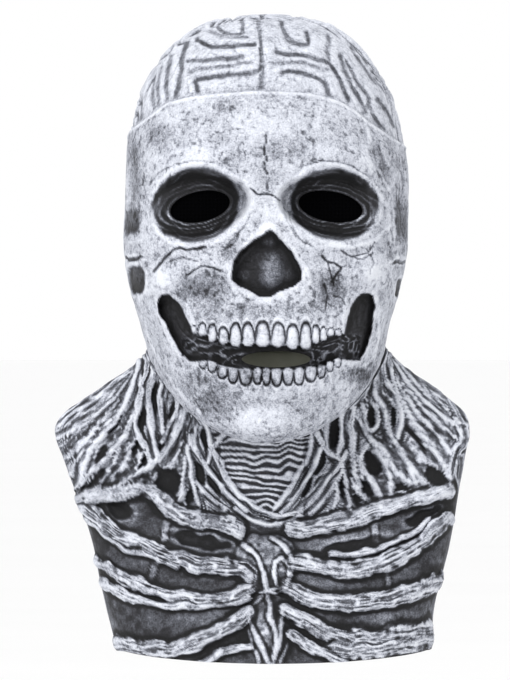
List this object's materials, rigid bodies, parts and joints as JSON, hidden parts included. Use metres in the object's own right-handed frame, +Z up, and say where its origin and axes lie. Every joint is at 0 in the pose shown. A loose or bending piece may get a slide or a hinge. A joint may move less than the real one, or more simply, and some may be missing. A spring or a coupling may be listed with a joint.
{
  "type": "full-overhead latex skull mask with brain crown, neck and rib bib",
  "caption": "Full-overhead latex skull mask: folded brain crown, sunken eye sockets, bared teeth, sinewy neck and a rib and collarbone bib, charcoal dry-brushed white",
  "frame": {"origin": "inside apex of the crown, where the mask rests on a head", "axes": "+X to the viewer's right in the picture, face looks along -Y, +Z up"},
  "size_m": [0.2752, 0.2269, 0.4283],
  "materials": {
    "dry_brushed_latex": "slip-cast latex, charcoal base dry-brushed with white and grey",
    "black_gauze": "black woven gauze"
  },
  "bodies": {
    "root": {"mask_skin": "dry_brushed_latex", "eye_mesh_left": "black_gauze", "eye_mesh_right": "black_gauze"}
  },
  "joints": []
}
